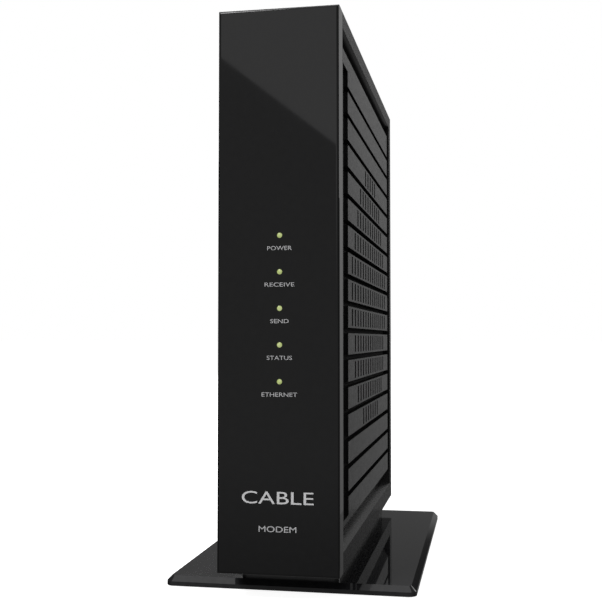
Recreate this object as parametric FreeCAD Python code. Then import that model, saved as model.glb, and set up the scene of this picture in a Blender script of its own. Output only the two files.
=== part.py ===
"""Upright cable modem on a flat foot, as an assembly of separate pieces.

Units are millimetres. +Z is up, the front face looks along -Y, and X is the modem's width. The origin is
on the surface that the modem stands on, at the middle of the bounding box. Sub-parts are written to parts/.
"""
import math
import os

import FreeCAD
import Part

V = FreeCAD.Vector
X = V(1, 0, 0)
Y = V(0, 1, 0)
Z = V(0, 0, 1)
QUARTER_TURN = 90

# ---- driving dimensions -------------------------------------------------------------------------------
TOTAL_HEIGHT = 197.0
BODY_WIDTH = 41.0
BODY_DEPTH = 176.0
COAX_REACH = 10.0          # how far the coaxial connector stands out behind the body
BODY_LIFT = 9.4            # underside of the body above the table

FRONT = -(BODY_DEPTH + COAX_REACH) / 2
BACK = FRONT + BODY_DEPTH
HALF = BODY_WIDTH / 2
TOP = TOTAL_HEIGHT
BOTTOM = BODY_LIFT

CUT = 1.0                  # how far a cutting shape stands past the face it goes through
BITE = 0.5                 # how far two joined shapes run into each other
SEAM = 0.1                 # gap between neighbouring pieces
NEAR = 0.01                # how close a point must be to count as lying on a plane

# casing
WALL = 2.0
SIDE_WALL = 5.0
BEZEL_DEPTH = 8.2
BEZEL_EDGE_R = 1.0
REAR_WALL = 3.0
REAR_EDGE_R = 1.2
REAR_RECESS = 1.0          # the port field is let into the rear wall
FIELD_HALF_WIDTH, FIELD_CORNER = 14.0, 2.0
FIELD_ABOVE, FIELD_BELOW = 16.0, 12.0      # the port field's reach past the reset hole and the power inlet
TOP_RIM, BOTTOM_RIM, REAR_RIM = 7.5, 8.7, 8.5
LIP = 2.0                  # how far a side cover tucks behind the rims
HOOK_REACH, HOOK_HALF, HOOK_THICK = 7.0, 5.0, 1.5      # tongues that clip the bezel into the frame
HOOK_GAP = 0.25

# side covers: a raised, slatted panel with a V groove above and below it and an upright slot at each end
COVER_WALL = 2.0
PANEL_WALL = 3.0
SLOT_DEPTH = 4.0
SLOT_START, SLOT_LOW, SLOT_HIGH = FRONT + 9.0, 26.3, 180.0
PANEL_FRONT, PANEL_BACK = FRONT + 21.0, FRONT + 157.0
PANEL_LOW, PANEL_HIGH = 24.5, 184.8
RIM_GROOVE_DEPTH = 4.0
EAVE_HIGH, SILL_LOW = 191.6, 16.2          # outer edges of the V grooves, on the rims
SLAT_PITCH = 9.36
SLAT_GROOVES = 16
GROOVE_WIDTH, GROOVE_DEPTH = 1.9, 2.2
GROOVE_TOP = 173.9                         # centre of the highest groove
VENT_PITCH, VENT_WIDTH, VENT_MARGIN = 8.0, 3.0, 0.7
VENT_MIDDLE_Y, VENT_MIDDLE_Z = FRONT + 88.0, 101.0
VENT_HALF_Y, VENT_HALF_Z = 58.0, 52.0
COVER_INNER = HALF - SIDE_WALL - SEAM - COVER_WALL
BEHIND_PANEL = HALF - PANEL_WALL

# screws
SCREW_R, SCREW_HEAD_R, SCREW_HEAD = 1.5, 2.8, 2.0
SCREW_CLEAR = 0.08
BOSS_R = 3.2
BOARD_SCREW_BITE = 5.0
CASE_SCREW_BITE = 4.0
CASE_SCREW_HEIGHTS = [17.4, 182.0]
TAB_DEPTH, ARM_HALF = 5.0, 1.2

# status lights
LIGHT_TOP, LIGHT_PITCH, LIGHT_COUNT = 120.9, 12.05, 5
LIGHT_R = 0.85
LIGHT_X = 0.6              # the lights stand a little to the right of the middle
LIGHTS = [LIGHT_TOP - LIGHT_PITCH * i for i in range(LIGHT_COUNT)]
WINDOW_GAP = 0.05

# main board, upright, components on its -X side
BOARD_FACE, BOARD_THICK = 6.5, 1.6
BOARD_BACK_FACE = BOARD_FACE + BOARD_THICK
BOARD_FRONT, BOARD_REAR = FRONT + 14.0, BACK - 11.5
BOARD_LOW, BOARD_HIGH = 21.0, 186.0
BOARD_HOLES = [(BOARD_FRONT + 8.0, 36.0), (BOARD_FRONT + 8.0, 174.0), (48.0, 25.5), (60.0, 174.0)]
BOARD_HOLE_GAP = 0.2

# processor with its heat sink
CHIP_Y, CHIP_Z, CHIP_SIDE, CHIP_HEIGHT = -8.0, 116.0, 25.0, 1.8
PAD_SIDE, PAD_THICK = 23.0, 0.5
SINK_SIDE, SINK_BASE, SINK_FINS, FIN_HEIGHT, FIN_THICK = 44.0, 2.0, 11, 9.0, 1.2
SINK_PIN_R, SINK_PIN_HEAD_R, SINK_PIN_HEAD, SINK_PIN_PAST = 1.3, 1.45, 1.2, 1.5
SINK_PIN_AT = 18.0         # pins from the sink's middle
FIN_PITCH = (SINK_SIDE - FIN_THICK) / (SINK_FINS - 1)

# tuner can: place and size on the board, and its sheet metal
TUNER_Y, TUNER_Z, TUNER_LENGTH, TUNER_HEIGHT = 42.0, 92.0, 34.0, 28.0
CAN_HEIGHT, CAN_WALL, LID_WALL, LID_SKIRT, LID_GAP = 4.0, 0.4, 0.3, 2.5, 0.05
CAN_DIVIDER = 4.0          # the inner divider, from the can's middle

# small parts on the board, each as its middle (y, z) and its size
CHIP_THICK = 1.1
SMALL_CHIPS = [(-44.0, 134.0, 9.0, 13.0), (-44.0, 104.0, 9.0, 13.0), (-6.0, 72.0, 8.0, 6.0),
               (30.0, TUNER_Z, 7.0, 7.0), (22.0, 130.0, 9.0, 9.0), (20.0, 40.0, 6.0, 6.0)]
CRYSTALS = [(20.0, 112.0), (-30.0, 84.0)]
CRYSTAL_HEIGHT, CRYSTAL_HALF_Y, CRYSTAL_HALF_Z, CRYSTAL_CORNER = 3.5, 2.3, 5.5, 2.2
CAPACITORS = [(44.0, 46.0, 4.0, 11.0), (34.0, 46.0, 4.0, 11.0), (34.0, 34.0, 3.2, 9.0),
              (-40.0, 60.0, 4.0, 11.0), (-52.0, 60.0, 3.2, 9.0)]
CAPACITOR_EDGE_R = 0.6
INDUCTORS = [(10.0, 50.0), (-22.0, 46.0)]
INDUCTOR_HEIGHT, INDUCTOR_HALF, INDUCTOR_CORNER, INDUCTOR_BEVEL = 4.5, 5.0, 2.0, 0.6

# rear ports, all on the body's centre line
RESET_Z, ETHERNET_Z, COAX_Z, SWITCH_Z, POWER_Z = 150.0, 124.0, TUNER_Z, 60.0, 34.0
PORT_FACE = BACK - REAR_RECESS
INSIDE_REAR = BACK - REAR_WALL - SEAM      # where a part behind the rear wall stops
PORT_GAP = 0.15

# coaxial connector
COAX_R, COAX_NECK_R, COAX_BORE = 4.7625, 4.6, 3.4
COAX_BASE_HALF, COAX_BASE_DEPTH = 6.5, 14.0
COAX_BEVEL, COAX_NECK_PAST, COAX_BORE_DEPTH = 0.4, 0.4, 8.0
INSULATOR_SET_BACK, INSULATOR_HOLE_R = 0.8, 0.6
CONTACT_R, CONTACT_HOLE_R, CONTACT_SOLID = 1.1, 0.5, 4.0
NUT_FLATS, NUT_THICK, WASHER_R, WASHER_THICK = 11.0, 2.2, 7.0, 0.6
NUT_CONE_OUT, NUT_CONE_IN = 1.2, 0.35

# network socket: half height across the board, half width, skin, mouth, latch steps and contacts
ETH_X, ETH_Z = 6.6, 8.1
ETH_FRONT, ETH_FACE = BACK - 20.5, BACK - 0.6
ETH_SKIN, ETH_FIT, ETH_SHIELD_BACK = 0.3, 0.05, 0.3
ETH_MOUTH_X, ETH_MOUTH_Z, ETH_DEEP = 3.5, 5.95, 12.6
ETH_LATCH = [(3.1, 1.5), (1.7, 2.8)]       # half width and reach of the two latch steps
ETH_PINS, ETH_PIN_PITCH, ETH_PIN_SLOT_HALF, ETH_PIN_SLOT = 8, 1.02, 0.3, 1.0
ETH_SLOT_START = 1.5
WIRE_HIGH, WIRE_LOW, WIRE_FRONT, WIRE_BACK = 0.7, 1.4, 2.0, 1.0
WIRE_THICK, WIRE_WIDE = 0.35, 0.4
TRANSFORMER_HEIGHT, TRANSFORMER_Y, TRANSFORMER_Z, TRANSFORMER_GAP = 6.0, 13.0, 17.0, 10.0

# power inlet
NOSE_R, POWER_BORE, POWER_DEEP = 4.3, 3.15, 9.5
POWER_PIN_R, POWER_PIN_TIP_R, POWER_PIN_BACK = 1.05, 0.4, 1.0
JACK_LEFT, JACK_HALF, JACK_DEPTH = -5.6, 4.6, 13.0

# power switch and its rocker
SWITCH_HALF_X, SWITCH_HALF_Z, SWITCH_DEPTH = 4.6, 7.6, 14.0
SWITCH_FLANGE_X, SWITCH_FLANGE_Z, SWITCH_FLANGE = 5.8, 9.0, 1.4
SWITCH_FLANGE_CORNER, SWITCH_FLANGE_BEVEL = 1.0, 0.5
WELL_SIDE_GAP, WELL_END_GAP, WELL_DEPTH = 0.25, 0.7, 6.0
TAIL_HALF_X, TAIL_HALF_Z, TAIL_AT, TAIL_REACH = 0.4, 2.0, 4.0, 4.0
ROCKER_HALF_X, ROCKER_HALF_Z = 3.3, 6.2
ROCKER_END, ROCKER_DIP, ROCKER_SKIRT, ROCKER_UNDER = 3.4, 2.1, -1.2, -2.6
ROCKER_SKIRT_Z, ROCKER_UNDER_Z, ROCKER_EDGE_R = 5.6, 2.4, 0.35
PIVOT_Y, PIVOT_R, PIVOT_GAP, PIVOT_SOCKET, PIVOT_END = PORT_FACE - 0.6, 0.8, 0.06, 0.4, 0.1
ROCKER_THROW = 11.0        # degrees each way from the middle

# reset button
RESET_HOLE_R = 1.0
RESET_R, RESET_TRAVEL, RESET_GAP, RESET_TIP_R = 1.3, 0.5, 0.06, 0.3
RESET_BODY_BACK, RESET_BODY_DEPTH, RESET_BODY_HALF = BACK - 12.0, 4.0, 3.0
RESET_BORE, RESET_BOTTOM_GAP, RESET_REAR_GAP = 2.5, 0.2, 0.4

# foot
FOOT_HALF_WIDTH = 43.85
FOOT_FRONT, FOOT_BACK = FRONT + 17.0, FRONT + 166.0
FOOT_UNDER, FOOT_TOP = 0.4, 3.7
FOOT_BEVEL, FOOT_CORNER = 1.8, 3.0
NECK_HALF_WIDTH, NECK_INSET, NECK_CORNER = 17.3, 3.0, 3.0
NECK_FRONT, NECK_BACK = FOOT_FRONT + NECK_INSET, FOOT_BACK - NECK_INSET
PAD_R, PAD_POCKET, PAD_GAP, PAD_EDGE_R = 5.0, 1.2, 0.1, 0.5
PAD_INSET = 10.0
FOOT_SCREW_INSET, FOOT_SCREW_HEAD, FOOT_SCREW_LENGTH, FOOT_SINK_GAP = 24.0, 1.3, 12.0, 0.3
FOOT_SCREWS = [NECK_FRONT + FOOT_SCREW_INSET, NECK_BACK - FOOT_SCREW_INSET]
FOOT_BOSS_R, FOOT_BOSS_HEIGHT = 4.0, 5.0

# lamps, light guides and their holder
LED_HEIGHT, LED_DEPTH, LED_HALF = 4.0, 3.0, 1.5
GUIDE_HALF, GUIDE_GAP = 1.1, 0.2
GUIDE_STRAIGHT, GUIDE_TURN, GUIDE_OFFSET = 5.6, 3.0, 0.8
DOME_RATIO = 2.2           # a window's dome radius over the window's own radius
HOLDER_HALF, HOLDER_FRONT, HOLDER_BACK, HOLDER_PAST = 9.0, 3.0, 5.0, 6.0
HOLDER_GAP = 0.1
POST_X, POST_HALF = 6.5, 1.0


# ---- helpers ------------------------------------------------------------------------------------------
def box(x0, x1, y0, y1, z0, z1):
    return Part.makeBox(x1 - x0, y1 - y0, z1 - z0, V(x0, y0, z0))


def rod(radius, start, length, axis):
    return Part.makeCylinder(radius, length, V(*start), axis)


def joined(shapes):
    first, *rest = shapes
    return first.fuse(rest).removeSplitter() if rest else first


def together(shapes):
    """Separate solids kept in one node."""
    return Part.makeCompound(shapes)


def rounded_plate(axis, low, high, a0, a1, b0, b1, radius):
    """A plate with round corners. axis 'x' spans Y by Z, and axis 'z' spans X by Y."""
    def point(a, b):
        return V(low, a, b) if axis == "x" else V(a, b, low)

    bend = radius * (1 - math.cos(math.pi / 4))
    corners = [(a0, b0, 1, 1), (a1, b0, -1, 1), (a1, b1, -1, -1), (a0, b1, 1, -1)]
    arcs = []
    for a, b, side_a, side_b in corners:
        along_b = point(a, b + side_b * radius)
        middle = point(a + side_a * bend, b + side_b * bend)
        along_a = point(a + side_a * radius, b)
        arcs.append((along_b, middle, along_a) if side_a == side_b else (along_a, middle, along_b))
    outline = []
    for arc, following in zip(arcs, arcs[1:] + arcs[:1]):
        outline.append(Part.Arc(*arc).toShape())
        outline.append(Part.LineSegment(arc[2], following[0]).toShape())
    return Part.Face(Part.Wire(outline)).extrude((X if axis == "x" else Z) * (high - low))


def prism(points, along):
    """The closed outline through these points, drawn out along a vector."""
    return Part.Face(Part.makePolygon([*points, points[0]])).extrude(along)


def edges_at(shape, test):
    return [edge for edge in shape.Edges if all(test(vertex.Point) for vertex in edge.Vertexes)]


def flipped(shape):
    """The mirror image in the body's middle plane."""
    return shape.mirror(V(0, 0, 0), X)


def cross_screw(tip, axis, length, head=SCREW_HEAD):
    """A pan-head screw with a cross recess: tip of the shank, and the way from tip to head."""
    round_share, slot_wide, slot_long, slot_deep = 0.45, 0.68, 3.2, 0.6 * head
    seat = V(*tip) + axis * length
    shank = Part.makeCylinder(SCREW_R, length, V(*tip), axis)
    top = Part.makeCylinder(SCREW_HEAD_R, head, seat, axis)
    crown = seat + axis * head
    rim = edges_at(top, lambda p: abs((p - crown).dot(axis)) < NEAR)
    top = top.makeFillet(head * round_share, rim)
    cross = joined([
        Part.makeBox(long, wide, slot_deep, V(-long / 2, -wide / 2, -slot_deep))
        for long, wide in ((slot_long, slot_wide), (slot_wide, slot_long))])
    cross.Placement = FreeCAD.Placement(crown, FreeCAD.Rotation(Z, axis))
    return joined([shank, top]).cut(cross)


# ---- casing -------------------------------------------------------------------------------------------
def front_bezel():
    """The glossy front: a shallow tray with light windows, clipped to the frame by two tongues."""
    shell = box(-HALF, HALF, FRONT, FRONT + BEZEL_DEPTH - SEAM, BOTTOM, TOP)
    shell = shell.makeFillet(BEZEL_EDGE_R, edges_at(shell, lambda p: abs(p.y - FRONT) < NEAR))
    inside = box(-HALF + WALL, HALF - WALL, FRONT + WALL, FRONT + BEZEL_DEPTH + CUT, BOTTOM + WALL,
                 TOP - WALL)
    windows = [rod(LIGHT_R + WINDOW_GAP, (LIGHT_X, FRONT - CUT, z), WALL + 2 * CUT, Y) for z in LIGHTS]
    hooks = []
    for low in (BOTTOM + WALL + HOOK_GAP, TOP - WALL - HOOK_GAP - HOOK_THICK):
        hooks.append(box(-HOOK_HALF, HOOK_HALF, FRONT + WALL, FRONT + BEZEL_DEPTH + HOOK_REACH, low,
                         low + HOOK_THICK))
    return joined([shell.cut([inside, *windows]), *hooks, *light_posts()])


def light_posts():
    """Two short ribs that the light-guide holder is pressed against."""
    low, high = LIGHTS[-1] - HOLDER_PAST, LIGHTS[0] + HOLDER_PAST
    return [box(x - POST_HALF, x + POST_HALF, FRONT + WALL, FRONT + HOLDER_FRONT, low, high)
            for x in (-POST_X, POST_X)]


def housing_frame():
    """Top, bottom and rear of the casing in one piece, open at the front and at both sides."""
    front = FRONT + BEZEL_DEPTH
    frame = box(-HALF, HALF, front, BACK, BOTTOM, TOP)
    frame = frame.makeFillet(REAR_EDGE_R, edges_at(frame, lambda p: abs(p.y - BACK) < NEAR))
    inside = box(-HALF + SIDE_WALL, HALF - SIDE_WALL, front - CUT, BACK - REAR_WALL, BOTTOM + WALL,
                 TOP - WALL)
    sides = box(-HALF - CUT, HALF + CUT, front - CUT, BACK - REAR_RIM, BOTTOM + BOTTOM_RIM, TOP - TOP_RIM)
    slopes = [rim_slope(TOP - TOP_RIM, EAVE_HIGH, front - CUT, BACK - REAR_RIM),
              rim_slope(BOTTOM + BOTTOM_RIM, SILL_LOW, front - CUT, BACK - REAR_RIM)]
    frame = frame.cut([inside, sides, *slopes, *[flipped(slope) for slope in slopes]])
    frame = frame.cut([port_field(), *rear_openings(), *foot_screw_holes(BOTTOM - CUT, BOTTOM + WALL + CUT)])
    bosses = [rod(FOOT_BOSS_R, (0, y, BOTTOM + WALL - BITE), FOOT_BOSS_HEIGHT, Z) for y in FOOT_SCREWS]
    bores = foot_screw_holes(BOTTOM, BOTTOM + WALL + FOOT_BOSS_HEIGHT + CUT)
    return joined([frame, *[boss.cut(bores) for boss in bosses]])


def port_field():
    """The shallow round-cornered recess around the rear ports."""
    low, high = POWER_Z - FIELD_BELOW, RESET_Z + FIELD_ABOVE
    field = rounded_plate("z", 0, CUT, -FIELD_HALF_WIDTH, FIELD_HALF_WIDTH, 0, high - low, FIELD_CORNER)
    field.Placement = FreeCAD.Placement(V(0, PORT_FACE + CUT, low), FreeCAD.Rotation(X, QUARTER_TURN))
    return field


def rear_openings():
    """Cut-outs in the rear wall for the ports, the reset hole and the two casing screws."""
    start = BACK - REAR_WALL - CUT
    through = REAR_WALL + 2 * CUT
    eth_x, eth_z = ETH_X + 2 * SEAM, ETH_Z + 2 * SEAM
    switch_x, switch_z = SWITCH_HALF_X + SEAM, SWITCH_HALF_Z + SEAM
    holes = [
        box(-eth_x, eth_x, start, start + through, ETHERNET_Z - eth_z, ETHERNET_Z + eth_z),
        box(-switch_x, switch_x, start, start + through, SWITCH_Z - switch_z, SWITCH_Z + switch_z),
        rod(COAX_NECK_R + PORT_GAP, (0, start, COAX_Z), through, Y),
        rod(NOSE_R + PORT_GAP, (0, start, POWER_Z), through, Y),
        rod(RESET_HOLE_R, (0, start, RESET_Z), through, Y),
    ]
    return holes + [rod(SCREW_R + SCREW_CLEAR, (0, start, z), through, Y) for z in CASE_SCREW_HEIGHTS]


def rim_slope(inner_z, outer_z, y0, y1):
    """What slopes an edge on the +X side, from inner_z at the groove's bottom to outer_z at its mouth."""
    deep = HALF - RIM_GROOVE_DEPTH
    away = math.copysign(CUT, inner_z - outer_z)
    outline = [(deep, inner_z), (HALF, outer_z), (HALF + CUT, outer_z), (HALF + CUT, inner_z + away),
               (deep, inner_z + away)]
    return prism([V(x, y0, z) for x, z in outline], Y * (y1 - y0))


def foot_screw_holes(z0, z1):
    return [rod(SCREW_R + SCREW_CLEAR, (0, y, z0), z1 - z0, Z) for y in FOOT_SCREWS]


def plain_cover():
    """The +X side cover without its bosses: tucked lip, V grooves, slots, slats and vents."""
    y0, y1 = FRONT + BEZEL_DEPTH, BACK - REAR_RIM
    z0, z1 = BOTTOM + BOTTOM_RIM, TOP - TOP_RIM
    tray = box(COVER_INNER, COVER_INNER + COVER_WALL, y0 - LIP, y1 + LIP, z0 - LIP, z1 + LIP)
    panel = box(COVER_INNER, HALF, y0 + SEAM, PANEL_BACK, z0 + SEAM, z1 - SEAM)
    hollow = box(COVER_INNER - CUT, BEHIND_PANEL, PANEL_FRONT + WALL, PANEL_BACK - WALL, PANEL_LOW + WALL,
                 PANEL_HIGH - WALL)
    slopes = [rim_slope(z1 - SEAM, PANEL_HIGH, y0, PANEL_BACK + CUT),
              rim_slope(z0 + SEAM, PANEL_LOW, y0, PANEL_BACK + CUT)]
    slot = box(HALF - SLOT_DEPTH, HALF + CUT, SLOT_START, PANEL_FRONT, SLOT_LOW, SLOT_HIGH)
    return tray.fuse(panel).cut([hollow, slot, *slopes, *slat_grooves(), *vent_slits()]).removeSplitter()


def slat_heights():
    return [GROOVE_TOP - SLAT_PITCH * i for i in range(SLAT_GROOVES)]


def slat_grooves():
    """The grooves between the slats, the full length of the panel."""
    return [box(HALF - GROOVE_DEPTH, HALF + CUT, PANEL_FRONT - CUT, PANEL_BACK + CUT, z - GROOVE_WIDTH / 2,
                z + GROOVE_WIDTH / 2) for z in slat_heights()]


def vent_slits():
    """Upright slits through the slats, inside an oval."""
    half = (SLAT_PITCH - GROOVE_WIDTH) / 2 - VENT_MARGIN
    reach = int(VENT_HALF_Y / VENT_PITCH)
    slits = []
    for groove in slat_heights():
        z = groove - SLAT_PITCH / 2
        for i in range(-reach, reach + 1):
            aside = VENT_PITCH * i
            y = VENT_MIDDLE_Y + aside
            if math.hypot(aside / VENT_HALF_Y, (z - VENT_MIDDLE_Z) / VENT_HALF_Z) < 1:
                slits.append(box(BEHIND_PANEL - CUT, HALF + CUT, y - VENT_WIDTH / 2, y + VENT_WIDTH / 2,
                                 z - half, z + half))
    return slits


def right_cover(plain):
    """Carries the board on four bosses, and has two rear tabs for the casing screws."""
    pieces = [plain]
    for y, z in BOARD_HOLES:
        boss = rod(BOSS_R, (BOARD_BACK_FACE, y, z), BEHIND_PANEL - BOARD_BACK_FACE + BITE, X)
        bore = rod(SCREW_R + SCREW_CLEAR, (BOARD_BACK_FACE - CUT, y, z), BOARD_SCREW_BITE + 2 * CUT, X)
        pieces.append(boss.cut(bore))
    tab_back = INSIDE_REAR
    tab_front = tab_back - TAB_DEPTH
    for z in CASE_SCREW_HEIGHTS:
        arm = box(0, COVER_INNER + BITE, BACK - REAR_RIM, tab_back, z - ARM_HALF, z + ARM_HALF)
        boss = rod(BOSS_R, (0, tab_front, z), TAB_DEPTH, Y)
        bore = rod(SCREW_R + SCREW_CLEAR, (0, tab_front - CUT, z), TAB_DEPTH + 2 * CUT, Y)
        pieces.append(arm.fuse(boss).cut(bore))
    return joined(pieces)


def case_screws():
    length = REAR_WALL + CASE_SCREW_BITE
    return together([cross_screw((0, BACK - length, z), Y, length) for z in CASE_SCREW_HEIGHTS])


# ---- foot ---------------------------------------------------------------------------------------------
def pad_places():
    x = FOOT_HALF_WIDTH - PAD_INSET
    return [(side * x, y) for side in (-1, 1) for y in (FOOT_FRONT + PAD_INSET, FOOT_BACK - PAD_INSET)]


def foot_plate():
    plate = rounded_plate("z", FOOT_UNDER, FOOT_TOP, -FOOT_HALF_WIDTH, FOOT_HALF_WIDTH, FOOT_FRONT,
                          FOOT_BACK, FOOT_CORNER)
    plate = plate.makeChamfer(FOOT_BEVEL, edges_at(plate, lambda p: abs(p.z - FOOT_TOP) < NEAR))
    below = FOOT_UNDER - CUT
    pockets = [rod(PAD_R + PAD_GAP, (x, y, below), CUT + PAD_POCKET, Z) for x, y in pad_places()]
    sinks = [rod(SCREW_HEAD_R + FOOT_SINK_GAP, (0, y, below), CUT + FOOT_SCREW_HEAD, Z) for y in FOOT_SCREWS]
    return plate.cut([*pockets, *sinks, *foot_screw_holes(below, FOOT_TOP + CUT)])


def foot_neck():
    neck = rounded_plate("z", FOOT_TOP, BOTTOM, -NECK_HALF_WIDTH, NECK_HALF_WIDTH, NECK_FRONT, NECK_BACK,
                         NECK_CORNER)
    return neck.cut(foot_screw_holes(FOOT_TOP - CUT, BOTTOM + CUT))


def rubber_pads():
    pads = []
    for x, y in pad_places():
        pad = rod(PAD_R, (x, y, 0), FOOT_UNDER + PAD_POCKET, Z)
        pads.append(pad.makeFillet(PAD_EDGE_R, edges_at(pad, lambda p: abs(p.z) < NEAR)))
    return together(pads)


def foot_screws():
    tip = FOOT_UNDER + FOOT_SCREW_HEAD + FOOT_SCREW_LENGTH
    return together([cross_screw((0, y, tip), -Z, FOOT_SCREW_LENGTH, FOOT_SCREW_HEAD) for y in FOOT_SCREWS])


# ---- lights -------------------------------------------------------------------------------------------
def status_leds():
    return together([box(BOARD_FACE - LED_HEIGHT, BOARD_FACE, BOARD_FRONT, BOARD_FRONT + LED_DEPTH,
                         z - LED_HALF, z + LED_HALF) for z in LIGHTS])


def light_guides():
    """Clear guides that step sideways from each lamp to its window in the bezel."""
    lamp_x = BOARD_FACE - LED_HEIGHT / 2
    front, back = FRONT + WALL + SEAM, BOARD_FRONT - GUIDE_GAP
    straight, turn = FRONT + GUIDE_STRAIGHT, BOARD_FRONT - GUIDE_GAP - GUIDE_TURN
    outline = [(LIGHT_X - GUIDE_HALF, front), (LIGHT_X + GUIDE_HALF, front),
               (LIGHT_X + GUIDE_HALF, straight), (lamp_x + GUIDE_HALF, turn),
               (lamp_x + GUIDE_HALF, back), (lamp_x - GUIDE_HALF, back),
               (lamp_x - GUIDE_HALF, turn + GUIDE_OFFSET), (LIGHT_X - GUIDE_HALF, straight + GUIDE_OFFSET)]
    guides = []
    for z in LIGHTS:
        bar = prism([V(x, y, z - LIGHT_R) for x, y in outline], Z * 2 * LIGHT_R)
        dome = Part.makeSphere(LIGHT_R * DOME_RATIO, V(LIGHT_X, FRONT + LIGHT_R * DOME_RATIO, z))
        window = rod(LIGHT_R, (LIGHT_X, FRONT, z), WALL + BITE, Y).common(dome)
        guides.append(joined([window, bar]))
    return together(guides)


def guide_holder():
    """The strip behind the bezel that the guides pass through."""
    strip = box(-HOLDER_HALF, HOLDER_HALF, FRONT + HOLDER_FRONT + SEAM, FRONT + HOLDER_BACK,
                LIGHTS[-1] - HOLDER_PAST, LIGHTS[0] + HOLDER_PAST)
    wide, tall = GUIDE_HALF + HOLDER_GAP, LIGHT_R + HOLDER_GAP
    return strip.cut([box(LIGHT_X - wide, LIGHT_X + wide, FRONT, FRONT + BEZEL_DEPTH, z - tall, z + tall)
                      for z in LIGHTS])


# ---- board and what it carries ------------------------------------------------------------------------
def on_board(height, y, z, size_y, size_z, lift=0.0):
    """A block on the board's component face, its middle at y, z."""
    return box(BOARD_FACE - lift - height, BOARD_FACE - lift, y - size_y / 2, y + size_y / 2,
               z - size_z / 2, z + size_z / 2)


def raised_plate(height, y, z, half_y, half_z, corner):
    """A round-cornered block on the board's component face, its middle at y, z."""
    return rounded_plate("x", BOARD_FACE - height, BOARD_FACE, y - half_y, y + half_y, z - half_z,
                         z + half_z, corner)


def through_board(radius, places):
    """Round holes through the board."""
    return [rod(radius, (BOARD_FACE - CUT, y, z), BOARD_THICK + 2 * CUT, X) for y, z in places]


def sink_pin_places():
    """Opposite corners of the heat sink, midway between two fins."""
    aside = (round(SINK_PIN_AT / FIN_PITCH) - 0.5) * FIN_PITCH
    return [(CHIP_Y - aside, CHIP_Z - SINK_PIN_AT), (CHIP_Y + aside, CHIP_Z + SINK_PIN_AT)]


def main_board():
    board = box(BOARD_FACE, BOARD_BACK_FACE, BOARD_FRONT, BOARD_REAR, BOARD_LOW, BOARD_HIGH)
    return board.cut([*through_board(SCREW_R + BOARD_HOLE_GAP, BOARD_HOLES),
                      *through_board(SINK_PIN_R + SEAM, sink_pin_places())])


def board_screws():
    length = BOARD_THICK + BOARD_SCREW_BITE
    return together([cross_screw((BOARD_FACE + length, y, z), -X, length) for y, z in BOARD_HOLES])


def processor_chip():
    return on_board(CHIP_HEIGHT, CHIP_Y, CHIP_Z, CHIP_SIDE, CHIP_SIDE)


def thermal_pad():
    return on_board(PAD_THICK, CHIP_Y, CHIP_Z, PAD_SIDE, PAD_SIDE, CHIP_HEIGHT)


def heat_sink():
    lift = CHIP_HEIGHT + PAD_THICK
    base = on_board(SINK_BASE, CHIP_Y, CHIP_Z, SINK_SIDE, SINK_SIDE, lift)
    first = CHIP_Y - SINK_SIDE / 2 + FIN_THICK / 2
    fins = [on_board(FIN_HEIGHT + BITE, first + FIN_PITCH * i, CHIP_Z, FIN_THICK, SINK_SIDE,
                     lift + SINK_BASE - BITE) for i in range(SINK_FINS)]
    far = BOARD_FACE - lift - SINK_BASE - FIN_HEIGHT - CUT
    holes = [rod(SINK_PIN_R + SEAM, (far, y, z), BOARD_FACE - far, X) for y, z in sink_pin_places()]
    return joined([base, *fins]).cut(holes)


def heat_sink_pins():
    """Push pins that hold the heat sink down, their heads between the fins."""
    seat = BOARD_FACE - CHIP_HEIGHT - PAD_THICK - SINK_BASE
    pins = []
    for y, z in sink_pin_places():
        shank = rod(SINK_PIN_R, (seat, y, z), BOARD_BACK_FACE + SINK_PIN_PAST - seat, X)
        head = rod(SINK_PIN_HEAD_R, (seat - SINK_PIN_HEAD, y, z), SINK_PIN_HEAD, X)
        pins.append(joined([shank, head]))
    return together(pins)


def tuner_block(height, grow=0.0, lift=0.0):
    """A block over the tuner, this much longer and taller than the can."""
    return on_board(height, TUNER_Y, TUNER_Z, TUNER_LENGTH + grow, TUNER_HEIGHT + grow, lift)


def tuner_shield_frame():
    hollow = tuner_block(CAN_HEIGHT + 2 * CUT, -2 * CAN_WALL, -CUT)
    divider = on_board(CAN_HEIGHT, TUNER_Y + CAN_DIVIDER, TUNER_Z, CAN_WALL, TUNER_HEIGHT - CAN_WALL)
    return joined([tuner_block(CAN_HEIGHT).cut(hollow), divider])


def tuner_shield_lid():
    lid = tuner_block(LID_SKIRT + LID_WALL, 2 * (LID_GAP + LID_WALL), CAN_HEIGHT - LID_SKIRT)
    return lid.cut(tuner_block(LID_SKIRT + CUT, 2 * LID_GAP, CAN_HEIGHT - LID_SKIRT - CUT))


def small_chips():
    return together([on_board(CHIP_THICK, *place) for place in SMALL_CHIPS])


def crystals():
    return together([raised_plate(CRYSTAL_HEIGHT, y, z, CRYSTAL_HALF_Y, CRYSTAL_HALF_Z, CRYSTAL_CORNER)
                     for y, z in CRYSTALS])


def capacitors():
    cans = []
    for y, z, radius, height in CAPACITORS:
        can = rod(radius, (BOARD_FACE - height, y, z), height, X)
        top = edges_at(can, lambda p: p.x < BOARD_FACE - NEAR)
        cans.append(can.makeFillet(CAPACITOR_EDGE_R, top))
    return together(cans)


def power_inductors():
    coils = []
    for y, z in INDUCTORS:
        core = raised_plate(INDUCTOR_HEIGHT, y, z, INDUCTOR_HALF, INDUCTOR_HALF, INDUCTOR_CORNER)
        top = edges_at(core, lambda p: p.x < BOARD_FACE - INDUCTOR_HEIGHT + NEAR)
        coils.append(core.makeChamfer(INDUCTOR_BEVEL, top))
    return together(coils)


def ethernet_transformer():
    return on_board(TRANSFORMER_HEIGHT, ETH_FRONT - TRANSFORMER_GAP, ETHERNET_Z, TRANSFORMER_Y,
                    TRANSFORMER_Z)


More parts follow.
